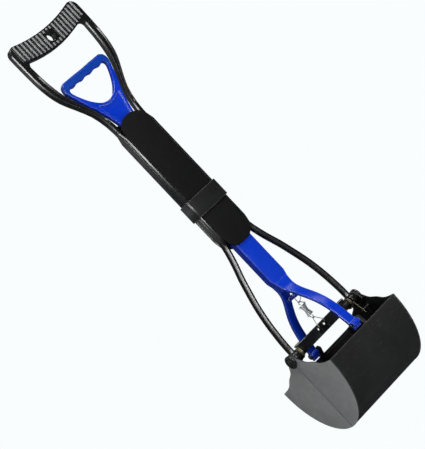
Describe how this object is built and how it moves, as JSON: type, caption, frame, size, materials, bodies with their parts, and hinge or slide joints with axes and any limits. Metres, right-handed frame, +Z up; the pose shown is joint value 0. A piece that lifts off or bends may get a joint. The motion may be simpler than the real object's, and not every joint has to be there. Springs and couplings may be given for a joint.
{
  "type": "pooper scooper",
  "caption": "Long-handled pet waste scooper: a D-shaped grip and boxed stem carry curved shell jaws that a finger trigger opens through a forked pull rod and springs close.",
  "frame": {"origin": "centre of the hang hole through the grip", "axes": "+Z up along the stem towards the grip, +X along the jaw pivots, -Y towards the front cover's face"},
  "size_m": [0.163, 0.1434, 0.7081],
  "materials": {
    "black_plastic": "semi-gloss black moulding",
    "cover_plastic": "satin black moulding",
    "cap_plastic": "dark grey moulding",
    "jaw_plastic": "satin black moulding",
    "blue_plastic": "glossy blue moulding",
    "bright_steel": "bright drawn wire",
    "zinc_steel": "yellowish zinc plate",
    "dark_steel": "dark plated screws"
  },
  "bodies": {
    "frame": {"upper_frame": "black_plastic", "stem_front_cover": "cover_plastic", "stem_back_cover": "cover_plastic", "collar": "cover_plastic", "lower_frame": "black_plastic", "sleeve_front_cover": "cover_plastic", "sleeve_back_cover": "cover_plastic", "stem_screw_1": "dark_steel", "stem_screw_2": "dark_steel", "stem_screw_3": "dark_steel", "stem_screw_4": "dark_steel", "sleeve_screw_1": "dark_steel", "sleeve_screw_2": "dark_steel", "left_pivot_bolt": "dark_steel", "right_pivot_bolt": "dark_steel", "left_pivot_cap": "cap_plastic", "right_pivot_cap": "cap_plastic", "left_torsion_spring": "zinc_steel", "right_torsion_spring": "zinc_steel", "lower_spring_yoke": "bright_steel"},
    "trigger": {"trigger_handle": "blue_plastic", "pull_fork": "blue_plastic", "rod_screw_1": "dark_steel", "rod_screw_2": "dark_steel", "upper_spring_yoke": "bright_steel", "closing_spring": "bright_steel"},
    "front_jaw": {"front_jaw": "jaw_plastic", "front_link_pin": "dark_steel", "front_pin_clip": "dark_steel"},
    "back_jaw": {"back_jaw": "jaw_plastic", "back_link_pin": "dark_steel", "back_pin_clip": "dark_steel"}
  },
  "joints": [
    {"name": "trigger_slide", "type": "slide", "parent": "frame", "child": "trigger", "axis": [0, 0, 1], "range_m": [0, 0.04], "stiffness_N_per_m": 120, "springref_m": -0.02, "deforming": ["closing_spring"]},
    {"name": "front_jaw_hinge", "type": "hinge", "parent": "frame", "child": "front_jaw", "pos_m": [0, 0, -0.561], "axis": [-1, 0, 0], "range_deg": [0, 36], "stiffness_Nm_per_rad": 0.25, "springref_deg": -20.05, "deforming": ["right_torsion_spring"]},
    {"name": "back_jaw_hinge", "type": "hinge", "parent": "frame", "child": "back_jaw", "pos_m": [0, 0, -0.561], "axis": [1, 0, 0], "range_deg": [0, 36], "stiffness_Nm_per_rad": 0.25, "springref_deg": -20.05, "deforming": ["left_torsion_spring"]}
  ],
  "couplings": [
    {"joint": "front_jaw_hinge", "follows": "trigger_slide", "rad_per_m": 15.61},
    {"joint": "back_jaw_hinge", "follows": "trigger_slide", "rad_per_m": 15.61}
  ]
}
